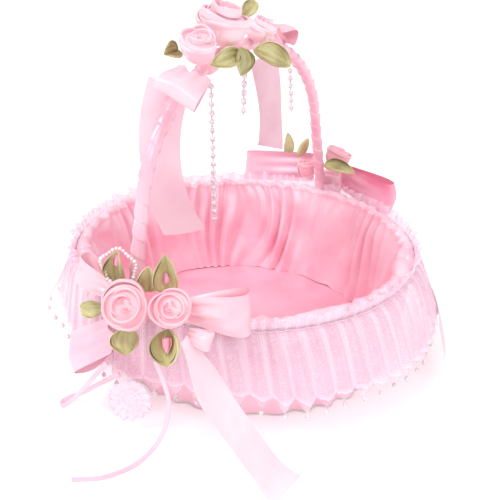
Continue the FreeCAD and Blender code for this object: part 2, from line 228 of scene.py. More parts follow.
def add_group(name, parts, material, body=BASKET, nodes=()):
    """Many small parts as one piece, such as a string of pearls."""
    return add_piece(name, joined(name, parts), material, body, nodes)


def name_seed(name):
    """A piece's own starting number for its folds, the same on every run."""
    return sum(name.encode())


# ---------------- materials
def rgb(red, green, blue):
    """A display colour, 0 to 255, as the linear colour a shader takes."""
    def linear(value):
        value = value / 255
        return value / 12.92 if value <= 0.04045 else ((value + 0.055) / 1.055) ** 2.4

    return (linear(red), linear(green), linear(blue), 1.0)


CORD_GAP = 1.9 * MM       # between the two cords that edge a lace panel
LILAC = rgb(252, 198, 222)
LACE_WHITE = rgb(255, 230, 243)
WHITE_PINK = rgb(255, 242, 249)
PEARL_GREY = rgb(206, 188, 194)


class Shader:
    """A Principled material with short ways to add nodes to it."""

    def __init__(self, name):
        self.material = bpy.data.materials.new(name)
        self.material.use_nodes = True
        self.tree = self.material.node_tree
        self.main = self.tree.nodes["Principled BSDF"]

    def feed(self, socket, value):
        """Sets an input to a plain value, or links another node's output to it."""
        if isinstance(value, bpy.types.NodeSocket):
            self.tree.links.new(value, socket)
        else:
            socket.default_value = value

    def node(self, kind, **values):
        made = self.tree.nodes.new(kind)
        for key, value in values.items():
            if key in made.inputs:
                self.feed(made.inputs[key], value)
            else:
                setattr(made, key, value)
        return made

    def set(self, **values):
        for key, value in values.items():
            self.feed(self.main.inputs[key.replace("_", " ")], value)

    def cloth_uv(self):
        return self.node("ShaderNodeUVMap", uv_map="cloth").outputs["UV"]

    def place(self):
        return self.node("ShaderNodeTexCoord").outputs["Object"]

    def scaled(self, source, scale, shift=(0.0, 0.0, 0.0)):
        return self.node("ShaderNodeMapping", Vector=source, Location=shift, Scale=scale).outputs["Vector"]

    def noise(self, source, scale, detail=2.0):
        return self.node("ShaderNodeTexNoise", Vector=source, Scale=scale, Detail=detail).outputs["Fac"]

    def ramp(self, source, *stops):
        """A number mapped through two stops of (place, value)."""
        made = self.node("ShaderNodeValToRGB", Fac=source)
        for point, (place, value) in zip(made.color_ramp.elements, stops):
            point.position = place
            point.color = value if isinstance(value, tuple) else (value, value, value, 1.0)
        return made.outputs["Color"]

    def math(self, operation, a, b=0.0):
        made = self.node("ShaderNodeMath", operation=operation)
        for socket, value in zip(made.inputs, (a, b)):
            self.feed(socket, value)
        return made.outputs[0]

    def blossoms(self, uv, spacing, petals, shift):
        """Scattered flowers with corded outlines and half-dense petals; shift moves the scatter."""
        moved = self.scaled(uv, (1 / spacing, 1 / spacing, 1.0), (shift, shift, 0.0))
        cells = self.node("ShaderNodeTexVoronoi", feature="F1", Vector=moved, Scale=1.0, Randomness=0.75)
        offset = self.node("ShaderNodeVectorMath", operation="SUBTRACT")
        self.feed(offset.inputs[0], moved)
        self.feed(offset.inputs[1], cells.outputs["Position"])
        parts = self.node("ShaderNodeSeparateXYZ", Vector=offset.outputs["Vector"]).outputs
        angle = self.math("ARCTAN2", parts["Y"], parts["X"])
        lobes = self.math("COSINE", self.math("MULTIPLY", angle, petals))
        edge = self.math("ADD", self.math("MULTIPLY", lobes, 0.11), 0.31)
        gap = self.math("SUBTRACT", cells.outputs["Distance"], edge)
        outline = self.ramp(self.math("ABSOLUTE", gap), (0.03, 1.0), (0.07, 0.0))
        petal_fill = self.ramp(gap, (0.0, 0.55), (0.02, 0.0))
        return self.math("MAXIMUM", outline, petal_fill)

    def bump(self, height, strength, distance):
        made = self.node("ShaderNodeBump", Height=height, Strength=strength, Distance=distance)
        self.set(Normal=made.outputs["Normal"])


def satin(name, light, deep, roughness):
    """Satin ribbon: fine threads across it, a soft sheen, and colour that deepens in slow patches."""
    s = Shader(name)
    patches = s.noise(s.place(), 38.0)
    threads = s.noise(s.scaled(s.cloth_uv(), (900.0, 9000.0, 1.0)), 1.0, 1.0)
    s.set(Base_Color=s.ramp(patches, (0.36, rgb(*deep)), (0.62, rgb(*light))),
          Roughness=s.ramp(threads, (0.2, roughness), (0.8, roughness + 0.06)), Specular_IOR_Level=0.95,
          Anisotropic=0.5, Sheen_Weight=0.45, Sheen_Roughness=0.28, Sheen_Tint=WHITE_PINK)
    s.bump(threads, 0.1, 0.05 * MM)
    return s.material


def lace(name, colour, net_alpha, cord_alpha, panel, drop, corner, motif):
    """Sheer net with flower motifs, in upright panels edged by two cords that round the hem's scallops."""
    s = Shader(name)
    uv = s.cloth_uv()
    split = s.node("ShaderNodeSeparateXYZ", Vector=uv).outputs
    repeat = s.math("FRACT", s.math("ADD", s.math("DIVIDE", split["X"], panel), 0.5))
    aside = s.math("MULTIPLY", s.math("ABSOLUTE", s.math("SUBTRACT", repeat, 0.5)), panel)
    over = s.math("MAXIMUM", s.math("SUBTRACT", aside, 0.44 * panel - corner), 0.0)
    below = s.math("MAXIMUM", s.math("SUBTRACT", split["Y"], drop - corner), 0.0)
    span = s.math("ADD", s.math("MULTIPLY", over, over), s.math("MULTIPLY", below, below))
    outside = s.math("SUBTRACT", s.math("SQRT", span), corner)
    outer_cord = s.ramp(s.math("ABSOLUTE", outside), (0.0005, 1.0), (0.0009, 0.0))
    inner_cord = s.ramp(s.math("ABSOLUTE", s.math("ADD", outside, CORD_GAP)), (0.0004, 0.8), (0.0008, 0.0))
    cords = s.math("MAXIMUM", outer_cord, inner_cord)
    flowers = s.math("MAXIMUM", s.blossoms(uv, motif, 5.0, 0.0), s.blossoms(uv, motif * 0.62, 2.0, 3.7))
    solid = s.math("MAXIMUM", cords, s.math("MULTIPLY", flowers, 0.7))
    net = s.node("ShaderNodeTexVoronoi", feature="DISTANCE_TO_EDGE", Vector=uv, Scale=1100.0)
    holes = s.ramp(net.outputs["Distance"], (0.06, 1.4 * net_alpha), (0.2, 0.8 * net_alpha))
    valley = s.ramp(outside, (0.0, 1.0), (0.0008, 0.55))
    dense = s.math("MULTIPLY", solid, cord_alpha - net_alpha)
    cloth = s.math("ADD", s.math("MULTIPLY", holes, valley), dense)
    kept = s.math("MAXIMUM", s.ramp(outside, (0.0009, 1.0), (0.0013, 0.0)),
                  s.ramp(below, (0.0001, 1.0), (0.0003, 0.0)))
    s.set(Alpha=s.math("MULTIPLY", cloth, kept), Base_Color=s.ramp(solid, (0.0, colour), (1.0, LACE_WHITE)),
          Roughness=0.75, Sheen_Weight=0.3, Specular_IOR_Level=0.2)
    s.bump(solid, 0.4, 0.4 * MM)
    return s.material


def organza(name, colour, alpha):
    """A crisp sheer cloth: fine crossed threads that make it denser in some places than others."""
    s = Shader(name)
    threads = s.noise(s.scaled(s.cloth_uv(), (4000.0, 250.0, 1.0)), 1.0, 1.0)
    patches = s.noise(s.place(), 45.0)
    s.set(Alpha=s.ramp(threads, (0.3, alpha - 0.12), (0.7, alpha + 0.12)),
          Base_Color=s.ramp(patches, (0.35, colour), (0.65, WHITE_PINK)),
          Roughness=0.5, Sheen_Weight=0.35, Specular_IOR_Level=0.35)
    s.bump(threads, 0.2, 0.2 * MM)
    return s.material


def pearl(name, colour):
    """A small pearl: a soft nacre glow with a clear coat."""
    s = Shader(name)
    cloud = s.noise(s.place(), 700.0)
    s.set(Base_Color=s.ramp(cloud, (0.35, colour), (0.65, WHITE_PINK)),
          Roughness=s.ramp(cloud, (0.3, 0.18), (0.7, 0.3)),
          Coat_Weight=0.6, Coat_Roughness=0.12, Specular_IOR_Level=0.6)
    return s.material


def fibrous(name, light, dark, scale, roughness, depth=0.2 * MM):
    """Board, felt, cane, wire or cord: a grain of the given scale in two close colours."""
    s = Shader(name)
    grain = s.noise(s.place(), scale, 4.0)
    s.set(Base_Color=s.ramp(grain, (0.35, dark), (0.65, light)),
          Roughness=s.ramp(grain, (0.3, roughness - 0.08), (0.7, roughness + 0.08)))
    s.bump(grain, 0.4, depth)
    return s.material


SATIN_LINING = satin("satin_lining", (255, 210, 224), (254, 190, 209), 0.3)
SATIN_ROSE = satin("satin_rose", (254, 208, 220), (252, 190, 206), 0.3)
SATIN_TOP = satin("satin_top_rose", (255, 220, 230), (254, 206, 219), 0.3)
SATIN_ROSE_PALE = satin("satin_rose_pale", (253, 200, 211), (250, 182, 197), 0.3)
SATIN_HOT = satin("satin_hot", (255, 182, 206), (255, 152, 184), 0.32)
# painted shade: the lining's satin made deeper for the floor pad, where the bottom of the bowl lies in
# shade
SATIN_FLOOR_PAINTED_SHADE = satin("satin_floor_painted_shade", (255, 180, 200), (254, 166, 188), 0.32)
# painted shade: a darker copy of the mauve satin, for the right tail, which hangs in shade
SATIN_MAUVE_PAINTED_SHADE = satin("satin_mauve_painted_shade", (234, 194, 208), (228, 180, 196), 0.32)
SATIN_SKIRT = satin("satin_skirt_cloth", (255, 206, 222), (255, 192, 212), 0.4)
SATIN_PALE = satin("satin_pale", (255, 234, 241), (255, 222, 233), 0.26)
SATIN_BOW = satin("satin_bow", (252, 214, 226), (250, 200, 216), 0.3)
SATIN_HANDLE = satin("satin_handle", (250, 202, 218), (246, 180, 202), 0.22)
SATIN_MAUVE = satin("satin_mauve", (250, 214, 226), (246, 202, 218), 0.32)
SATIN_LEAF = satin("satin_leaf", (224, 216, 166), (166, 154, 96), 0.34)
PANELS = 64
SKIRT_CLOTH = 1.05         # metres of cloth gathered into each skirt
LACE_DROP, ORGANZA_DROP = 0.05, 0.056
LACE_CLOTH = lace("lace_cloth", LILAC, 0.22, 0.8, SKIRT_CLOTH / PANELS, 0.049, 3.2 * MM, 0.010)
LACE_FRILL = lace("lace_frill", LILAC, 0.34, 0.72, 0.008, 0.0115, 2.5 * MM, 0.004)
LACE_MEDAL = lace("lace_medallion", rgb(246, 214, 222), 0.42, 0.85, 0.012, 0.02, 2 * MM, 0.006)
ORGANZA_CLOTH = organza("organza_cloth", LILAC, 0.42)
LACE_CORD = fibrous("lace_cord", WHITE_PINK, LILAC, 900.0, 0.7, 0.1 * MM)
PEARL = pearl("pearl_nacre", PEARL_GREY)
PEARL_SEED = pearl("seed_nacre", rgb(244, 232, 232))
THREAD = fibrous("thread_twist", rgb(245, 235, 238), rgb(225, 210, 216), 900.0, 0.6, 0.05 * MM)


def dress_cad_nodes():
    """Materials for the pieces whose CAD shape is the real one."""
    finishes = {
        "base_felt": fibrous("felt_nap", rgb(250, 214, 224), rgb(236, 190, 204), 500.0, 0.9),
        "base_board": fibrous("board_grain", rgb(214, 200, 178), rgb(190, 172, 146), 260.0, 0.85),
        "side_wall": fibrous("wall_board", rgb(220, 206, 186), rgb(196, 178, 152), 260.0, 0.85),
        "rim_wire": fibrous("wire_paper", rgb(244, 236, 236), rgb(220, 206, 210), 420.0, 0.6),
        "handle_core": fibrous("cane_grain", rgb(214, 184, 138), rgb(178, 142, 96), 320.0, 0.55),
        "handle_ties": fibrous("tie_cord", rgb(246, 226, 230), rgb(224, 196, 206), 900.0, 0.7),
    }
    for name, material in finishes.items():
        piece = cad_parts[name]
        if not piece.data.materials:
            piece.data.materials.append(material)
        for place in piece.material_slots:
            place.link = "OBJECT"
            place.material = material


# ---------------- gathered cloth round the bowl
def ring_waves(turn, low, high, seed, drift=0.0):
    """Uneven waves round a closed ring, from low to high waves a turn; drift slides each one a little."""
    draw = np.random.default_rng(seed)
    total = np.zeros(np.broadcast(turn, drift).shape)
    for rate in range(low, high + 1):
        phase, slide = draw.uniform(0, 2 * math.pi), draw.uniform(-1, 1)
        total = total + np.cos(rate * turn + phase + slide * drift)
    return total * math.sqrt(2 / (high - low + 1)) / 2


LINING_CLOTH = (0.9, 0.088)          # length and drop of each gathered cloth, laid flat
UNDERSKIRT_CLOTH = (0.75, 0.076)
FRILL_CLOTH = (0.95, 0.012)
WALL_LOW = end_ring("base_felt", False)
WALL_HIGH = end_ring("side_wall", True)
RIM_LINE = end_ring("satin_underskirt", True)


def wall_ring(z):
    """Semi-axes of the wall's outer face at a height."""
    share = (z - WALL_LOW[2]) / (WALL_HIGH[2] - WALL_LOW[2])
    return mix(WALL_LOW[0], WALL_HIGH[0], share), mix(WALL_LOW[1], WALL_HIGH[1], share)


def cone_points(turn, start, end, share, stand, z):
    """Points on rings between a flared piece's start and end rings, set off from them by stand."""
    a = mix(start[0], end[0], share) + stand
    b = mix(start[1], end[1], share) + stand
    return ring_points(turn, a, b, z)


def near(turn, middle, width):
    """1 at the middle direction, fading to 0 on both sides of it."""
    return np.exp(-((np.angle(np.exp(1j * (turn - middle))) / width) ** 2))


def add_gathered(name, points, material, node, size):
    """Cloth gathered round the bowl; size is its size laid flat before gathering, and sets its UV map."""
    mesh = grid_mesh(name, points, around=True, size=size)
    piece = add_piece(name, mesh, material, BASKET, [node])


def lining_folds(turn, down):
    """How far the lining stands off its wall: broad soft ridges that drift sideways, finer at the rim."""
    phase = 22 * turn + 3.4 * ring_waves(turn, 2, 9, 11) + 3.6 * ring_waves(turn, 2, 7, 12, 4.0 * down)
    broad = (0.5 - 0.5 * np.cos(2 * phase)) ** 0.65
    fine = 0.5 - 0.5 * np.cos(4 * phase + 5 * ring_waves(turn, 5, 20, 13))
    height = np.maximum(5.6 + 4.6 * ring_waves(turn, 5, 16, 14, 3.5 * down), 0.8)
    slack = 6.0 * ring_waves(turn, 8, 26, 15, 9.0 * down) * down * (1 - down)
    rim = (1 - down) ** 2
    return MM * (broad * height * (0.45 + 0.55 * np.sin(math.pi * down ** 0.8)) + 1.8 * fine * rim + slack)


def make_lining():
    """The gathered lining: rolled over the rim, then down the wall to the floor pad."""
    rows, roll_rows = 84, 16
    roll_r, roll_z = 3.6 * MM, WALL_HIGH[2] + 0.6 * MM
    floor_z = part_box("floor_pad")[1][2]
    turn = around_ring(1080)
    row = np.arange(rows)[:, None]
    lap = np.clip(row / roll_rows, 0, 1) * math.pi
    down = np.clip((row - roll_rows) / (rows - 1 - roll_rows), 0, 1)
    inwards = -0.8 * MM - roll_r * np.cos(lap) + 1.4 * MM * ease(down / 0.2)
    z = mix(roll_z + roll_r * np.sin(lap), floor_z - 0.4 * MM, ease(down) * 0.3 + down * 0.7)
    a, b = wall_ring(np.minimum(z, WALL_HIGH[2]))
    folds = lining_folds(turn, down) * np.sin(lap / 2)
    puff = 1.3 * MM * np.sin(lap) * np.sin(44 * turn + 4 * ring_waves(turn, 3, 11, 16))
    points = ring_points(turn, a - inwards - folds, b - inwards - folds, z + puff)
    add_gathered("bowl_lining", points, SATIN_LINING, "wall_lining", LINING_CLOTH)


def make_floor_pad():
    """A thin quilted disc: crowned on top, drawn in where it meets the lining."""
    edge = end_ring("floor_pad", True)
    low_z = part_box("floor_pad")[0][2]
    turn = around_ring(240)
    tilt = row_shares(40, last=math.pi)
    reach, over = np.sin(tilt) ** 0.9, np.cos(tilt)
    middle, half = (edge[2] + low_z) / 2, (edge[2] - low_z) / 2
    crown = 0.9 * MM * (1 - reach ** 4) + 0.45 * MM * ring_waves(turn, 4, 13, 21, 4.0 * reach) * reach ** 3
    z = middle + half * np.sign(over) * np.abs(over) ** 0.4 + np.where(over > 0, crown, 0)
    points = ring_points(turn, edge[0] * reach, edge[1] * reach, z)
    mesh = grid_mesh("floor_pad_satin", points, around=True, size=(0.64, 0.2))
    # the floor pad takes the deeper satin: painted shade for the bottom of the bowl
    piece = add_piece("floor_pad_satin", mesh, SATIN_FLOOR_PAINTED_SHADE, BASKET, ["floor_pad"])


SKIRT_TOP = end_ring("lace_skirt", True)
SKIRT_HEM = end_ring("lace_skirt", False)
FRONT_TURN = math.radians(-118.0)     # where the front cluster weighs the hem down


def flutes(turn, down):
    """How far a gathered skirt stands out or in: a flute to each lace panel, over slower swells."""
    deep = np.cos(PANELS * turn + 0.5 * ring_waves(turn, 2, 8, 31))
    depth = np.maximum(1.9 + 1.6 * ring_waves(turn, 3, 16, 33), 0.6)
    swell = 3.4 * ring_waves(turn, 4, 15, 32)
    fine = np.sin(170 * turn + 4 * ring_waves(turn, 4, 15, 34))
    return MM * (deep * depth * (0.15 + 0.85 * down) + swell * down ** 1.2 + 0.6 * fine * (1 - 0.4 * down))


def hem_height(turn):
    """The lace hem's height: uneven, with a dip at the front cluster."""
    return SKIRT_HEM[2] + MM * (2.0 * ring_waves(turn, 2, 7, 36) - 3.0 * near(turn, FRONT_TURN, 0.32))


FLARE_TURN = math.radians(-147.0)     # where the left side flares out
GATHERED_IN = 3.2 * MM                # from the skirts' own cone in to the header's stitching


def skirt_points(out, flare_out, reach_down, hem_shape):
    """One gathered skirt layer hung from the rim: out sets it off, flare_out lifts its left side."""
    turn, down = around_ring(1440), row_shares(44)
    turn = turn + 0.011 * np.sin(PANELS * turn) * down
    wave = flutes(turn, down) + flare_out * near(turn, FLARE_TURN, 0.34) * down ** 1.5
    stand = out * (0.15 + 0.85 * down) + wave - GATHERED_IN * np.exp(-down / 0.05)
    hem = hem_height(turn) - reach_down + hem_shape(turn)
    z = mix(SKIRT_TOP[2] + 1.0 * MM, hem, down)
    return cone_points(turn, SKIRT_TOP, SKIRT_HEM, down ** 0.85, stand, z)


def plain_hem(turn):
    """A straight hem; the lace's own cut edge gives it its scallops."""
    return 0 * turn


def dags(turn):
    """A pointed hem: low at each point and high between."""
    share = (PANELS * turn / (2 * math.pi)) % 1.0
    return 7.5 * MM * (1 - np.abs(2 * share - 1)) ** 0.9


def make_skirts():
    """The lace over the organza, and a pearl drop at each of the organza's points."""
    flounce = skirt_points(0.0, 3.0 * MM, -5.0 * MM, plain_hem)
    veil = skirt_points(-2.5 * MM, 15.0 * MM, 2.5 * MM, dags)
    size = (SKIRT_CLOTH, LACE_DROP)
    add_gathered("lace_flounce", flounce, LACE_CLOTH, "lace_skirt", size)
    add_gathered("organza_layer", veil, ORGANZA_CLOTH, "organza_skirt", size)
    hem = veil[-1]
    beads = []
    for i in range(PANELS):
        spot = hem[round(i * len(hem) / PANELS) % len(hem)]
        beads.append(ball_mesh("cap", spot - (0, 0, 0.6 * MM), 0.8 * MM))
        beads.append(ball_mesh("drop", spot - (0, 0, 2.4 * MM), 1.5 * MM, (1, 1, 1.25)))
    add_group("hem_drops", beads, PEARL, nodes=["hem_pearls"])


def make_underskirt():
    """The plain satin skirt under the sheer ones, down to the table."""
    turn, down = around_ring(720), row_shares(30)
    hem = end_ring("satin_underskirt", False)
    depth = MM * (1.5 + ring_waves(turn, 2, 7, 41))
    folds = depth * np.sin(33 * turn + 2 * ring_waves(turn, 2, 8, 42)) * down
    puff = 2.5 * MM * np.sin(math.pi * down)
    z = mix(RIM_LINE[2], 0.7 * MM + 0.8 * MM * (1 + ring_waves(turn, 5, 17, 43)) / 2, down)
    points = cone_points(turn, RIM_LINE, hem, down, folds + puff, z)
    add_gathered("satin_skirt", points, SATIN_SKIRT, "satin_underskirt", UNDERSKIRT_CLOTH)


def frill_wave(turn, up):
    """Small tight ruffles that open towards the header's free edge."""
    tight = np.sin(84 * turn + 4.0 * ring_waves(turn, 4, 17, 51))
    loose = np.sin(61 * turn + 2.5 * ring_waves(turn, 4, 14, 52))
    return MM * ((1.9 * tight + 1.2 * loose) * up + 0.35 * tight)


def make_header():
    """The lace frill that stands up at the rim, and the two rows of stitching that gather it."""
    low, high = end_ring("lace_header", False), end_ring("lace_header", True)
    turn, up = around_ring(1440), row_shares(12, first=-0.35)
    top_z = high[2] + MM * (1.2 * ring_waves(turn, 20, 60, 53) + 0.9)
    wave = frill_wave(turn, np.clip(up, 0, 1))
    points = cone_points(turn, low, high, up, wave, mix(low[2], top_z, up))[::-1]
    add_gathered("rim_frill", points, LACE_FRILL, "lace_header", FRILL_CLOTH)
    cords = []
    for rise, proud in ((0.04, 0.9), (-0.16, 1.4)):
        stand = frill_wave(turn, max(rise, 0.0)) + proud * MM
        ring = cone_points(turn, low, high, rise, stand, mix(low[2], top_z, rise))[0]
        cords.append(tube_mesh("cord", ring, 0.28 * MM, sides=5, closed=True))
    add_group("frill_stitching", cords, LACE_CORD)


# ---------------- handle
HANDLE_TOP = 215.6 * MM
CROWN_ARC_R = 127.8 * MM
SHOULDER_ARC_R = 78.3 * MM
CROWN_TURN = math.radians(35.0)
LEG_LEAN = math.radians(13.5)
LEG_BEND_Z = 80.0 * MM
LEG_FOOT_Y = 99.0 * MM
LEG_FOOT_Z = 14.0 * MM
WRAP_R = 4.0 * MM
WRAP_PITCH = 11.0 * MM
WRAP_STEP = 0.9 * MM


def hoop_half():
    """Centreline of the hoop's +Y half in the YZ plane, from the crown to the foot, as the cane runs."""
    turn = np.linspace(0, math.pi / 2 - LEG_LEAN, 60)
    flat = np.minimum(turn, CROWN_TURN)
    y = CROWN_ARC_R * np.sin(flat) + SHOULDER_ARC_R * (np.sin(turn) - np.sin(flat))
    drop = CROWN_ARC_R * (1 - np.cos(flat)) + SHOULDER_ARC_R * (np.cos(flat) - np.cos(turn))
    arc = np.stack([0 * y, y, HANDLE_TOP - drop], axis=1)
    bend_y = arc[-1, 1] + (arc[-1, 2] - LEG_BEND_Z) * math.tan(LEG_LEAN)
    bend, foot = np.array([0, bend_y, LEG_BEND_Z]), np.array([0, LEG_FOOT_Y, LEG_FOOT_Z])
    upper = mix(arc[-1], bend, row_shares(20, 0.06, 0.93))
    lower = mix(bend, foot, row_shares(14, 0.07, 1.0))
    return np.concatenate([arc, upper, lower])


def resampled(line, step):
    """A line through the same points, evenly spaced."""
    line = np.asarray(line)
    reach = np.concatenate([[0], np.cumsum(np.linalg.norm(np.diff(line, axis=0), axis=1))])
    spots = np.linspace(0, reach[-1], max(3, int(reach[-1] / step)))
    return np.stack([np.interp(spots, reach, line[:, k]) for k in range(3)], axis=1), spots


def make_handle_wrap():
    """Satin ribbon wound round the hoop: each turn laps the last, with a soft edge and small puckers."""
    half = hoop_half()
    mirrored = half[1:] * (1, -1, 1)
    line, spots = resampled(np.concatenate([mirrored[::-1], half]), 0.55 * MM)
    spots = spots[:, None]
    turn = around_ring(40)
    side = np.array([1.0, 0, 0])
    over = np.cross(unit_rows(np.gradient(line, axis=0)), side)
    share = (spots / WRAP_PITCH + turn / (2 * math.pi)) % 1.0
    lap = np.where(share < 0.08, share / 0.08, 1 - 0.75 * ease((share - 0.08) / 0.92))
    pucker = np.sin(9 * turn + spots * 160) * 0.09 * MM * (1 - share)
    radius = WRAP_R - 0.35 * MM + WRAP_STEP * lap + pucker
    points = spread(line[:, None, :], (radius * np.cos(turn), side),
                    (radius * np.sin(turn), over[:, None, :]))
    mesh = grid_mesh("handle_ribbon", points, around=True, size=(0.025, 0.62))
    add_piece("handle_ribbon", mesh, SATIN_HANDLE, BASKET, ["handle_wrap"])


# ---------------- roses
PETAL_ROWS = 16
PETAL_STEP = math.radians(137.0)    # from one petal to the next, so that no two line up


def petal_section(radius, height):
    """A petal's upright section as (out, up): narrow foot, full belly, upright edge."""
    hull = np.array([(0.30, 0.0), (0.95, 0.10), (1.08, 0.62), (0.94, 1.0)]) * (radius, height)
    share = row_shares(PETAL_ROWS)
    rest = 1 - share
    return np.hstack([rest ** 3, 3 * share * rest ** 2, 3 * share ** 2 * rest, share ** 3]) @ hull


def petal_roll(lip, fold):
    """The petal's edge as offsets (out, up) from its section's end: rolled over, then folded down."""
    bends = np.radians([30, 60, 90, 120, 150, 180])
    roll = [[lip * (1 - math.cos(bend)), 0.6 * lip * math.sin(bend)] for bend in bends]
    roll += [[2 * lip + 0.10 * fold * step, -fold * step] for step in (0.35, 0.7, 1.0)]
    return np.array(roll)


def petal(radius, height, start, sweep, lip, point, seed):
    """One turn of folded ribbon: its edge slopes, comes to a soft point, and both ends tuck inside."""
    draw = np.random.default_rng(seed)
    slope, puckers = draw.uniform(0.06, 0.2), draw.uniform(0, 6.28, 2)
    section = petal_section(radius, height)
    roll = petal_roll(lip, 0.2 * height)
    across, up_share = col_shares(46, first=0.0), row_shares(PETAL_ROWS)
    middle = 1 - np.abs(2 * across - 1)
    swell = 0.84 + 0.16 * np.sin(math.pi * across) ** 0.6 + point * middle ** 2
    edge = 1 + slope * (0.5 - across) - 0.14 * (1 - middle) ** 2.2 + 0.5 * point * middle ** 3
    fade = np.sin(math.pi * np.clip(across, 0.001, 0.999)) ** 0.5
    ripple = 0.03 * radius * np.sin(3 * math.pi * across + 4 * up_share + puckers[0]) * up_share
    ripple = ripple + 0.012 * radius * np.sin(9 * across + puckers[1])
    body_out = section[:, :1] * swell + ripple
    body_up = section[:, 1:] * (1 + (edge - 1) * up_share)
    out = np.concatenate([body_out, body_out[-1:] + roll[:, :1] * fade])
    up = np.concatenate([body_up, body_up[-1:] + roll[:, 1:] * fade])
    return ring_points(start + sweep * across, out, out, up)


def bud(radius, height, turns, seed, taper=0.0):
    """The rose's heart: ribbon rolled into a loose spiral, its edge dipping towards the middle."""
    across, up = col_shares(int(60 * turns), first=0.0), row_shares(12)
    turn = across * turns * 2 * math.pi + seed
    reach = radius * (0.10 + 0.90 * across ** 0.8)
    out = reach * (0.55 + 0.45 * np.sin(math.pi * (0.15 + 0.6 * up))) * (1 - taper * up ** 2)
    out = out + 0.14 * radius * np.clip((up - 0.85) / 0.15, 0, 1)
    crest = height * (0.9 + 0.07 * np.sin(3 * turn) + 0.06 * across)
    return ring_points(turn, out, out, up * crest)


def rose_core(radius, height, fall):
    """The rolled ribbon under the petals, just below their edges, so that no gap runs deep."""
    share = row_shares(14)
    out = radius * 0.9 * np.minimum(share / 0.8, 1 - 0.6 * np.clip((share - 0.8) / 0.2, 0, 1))
    top = height * mix(0.88, 0.90 * (1 - fall), (out / radius) ** 1.3)
    up = np.where(share <= 0.8, top, top * (1 - (share - 0.8) / 0.2 * 0.9))
    return ring_points(col_shares(49, 0, 2 * math.pi), out, out, up)


def petal_ledge(folded):
    """The ribbon gathered inside a petal's edge, so that the gap behind it stays shallow and lit."""
    edge = folded[PETAL_ROWS - 3]
    shares = (0.66, 0.74, 0.82, 0.9, 1.0)
    return np.stack([edge * (share, share, mix(0.88, 1.0, share)) for share in shares])


def make_rose(node, x_dir, z_dir, material, turn, petals=6, fall=0.16, point=0.06):
    """A ribbon rose in its CAD bud's place: a spiral heart in broad petals; fall lowers the outer ones."""
    name = "satin_" + node
    seat = Seat(node, x_dir, z_dir)
    radius, height = min(seat.size[:2]) / 2, seat.size[2]
    aside = 0.12 * radius * np.array([math.cos(turn), math.sin(turn), 0])
    parts = [rose_core(radius, height, fall), bud(0.28 * radius, 0.98 * height, 1.8, turn) + aside]
    for i in range(petals):
        share = i / (petals - 1)
        size = radius * mix(0.42, 0.93, share ** 0.9)
        rise = height * mix(0.97, 1 - fall, share ** 1.3)
        lip = radius * mix(0.035, 0.052, share)
        sweep = math.radians(mix(200, 165, share))
        start = turn + i * PETAL_STEP
        folded = petal(size, rise, start, sweep, lip, point * share, name_seed(name) + i)
        parts += [folded, petal_ledge(folded)]
    middle = np.array([seat.size[0] / 2, 0, -seat.size[2] / 2])
    sheets = [grid_mesh("petal", seat.place(points + middle), size=(0.03, 0.02)) for points in parts]
    add_piece(name, joined(name, sheets), material, BASKET, [node], thick=SATIN_T, smooth=1)


# ---------------- leaves
def leaf_points(length, width, cup, curl, fold, seed):
    """A satin leaf of folded ribbon: pointed, cupped, pleated at its stem, both edges rolled in."""
    draw = np.random.default_rng(seed)
    along, across = row_shares(30), col_shares(33)
    half = width / 2 * (np.sin(math.pi * along ** 0.8) ** 0.7 * 0.92 + 0.08 * (1 - along))
    flat_share, roll_r = 0.8, 0.075
    bend = np.clip((np.abs(across) - flat_share) / (1 - flat_share), 0, 1) * math.radians(165)
    y = np.sign(across) * half * (np.minimum(np.abs(across), flat_share) + 2 * roll_r * np.sin(bend))
    z = half * 2 * roll_r * (1 - np.cos(bend))
    z = z + cup * width * np.abs(across) ** 1.6 * np.sin(math.pi * along) ** 0.7
    z = z + curl * length * along ** 2.4 + fold * width * np.exp(-(across / 0.10) ** 2) * (1 - along) ** 0.5
    z = z + 0.035 * width * np.sin(11 * across + draw.uniform(0, 6)) * (1 - along) ** 0.6
    z = z + 0.02 * width * np.sin(9 * along + 4 * np.abs(across) + draw.uniform(0, 6))
    return np.stack([length * along + 0 * across, y, z], axis=-1)


def make_leaf(node, x_dir, z_dir, cup=0.28, bud_at=None):
    """A leaf in its CAD plate's place; bud_at adds the small pink bud that sits in its fold."""
    seat = Seat(node, x_dir, z_dir)
    seed, curl, fold = name_seed(node), 0.12, -0.07
    length, width = seat.size[0], seat.size[1]
    points = leaf_points(length, width, cup, curl, fold, seed)
    under = leaf_points(length * 0.9, width * 0.9, cup * 1.2, curl, fold, seed + 1) - (0, 0, 0.07 * width)
    mesh = joined(node, [grid_mesh("top", seat.place(points), size=(width, length)),
                         grid_mesh("under", seat.place(under), size=(width, length))])
    add_piece("satin_" + node, mesh, SATIN_LEAF, BASKET, [node], thick=SATIN_T, smooth=1)
    if bud_at is None:
        return
    share, size = bud_at
    heart = bud(size, 2.4 * size, 2.0, 0.5, 0.95)
    heart = np.stack([heart[..., 2] + share * length, heart[..., 0], heart[..., 1] + 0.9 * size], axis=-1)
    small = grid_mesh("bud", seat.place(heart), size=(0.02, 0.01))
    add_piece("bud_in_" + node, small, SATIN_HOT, BASKET, thick=SATIN_T, smooth=1)


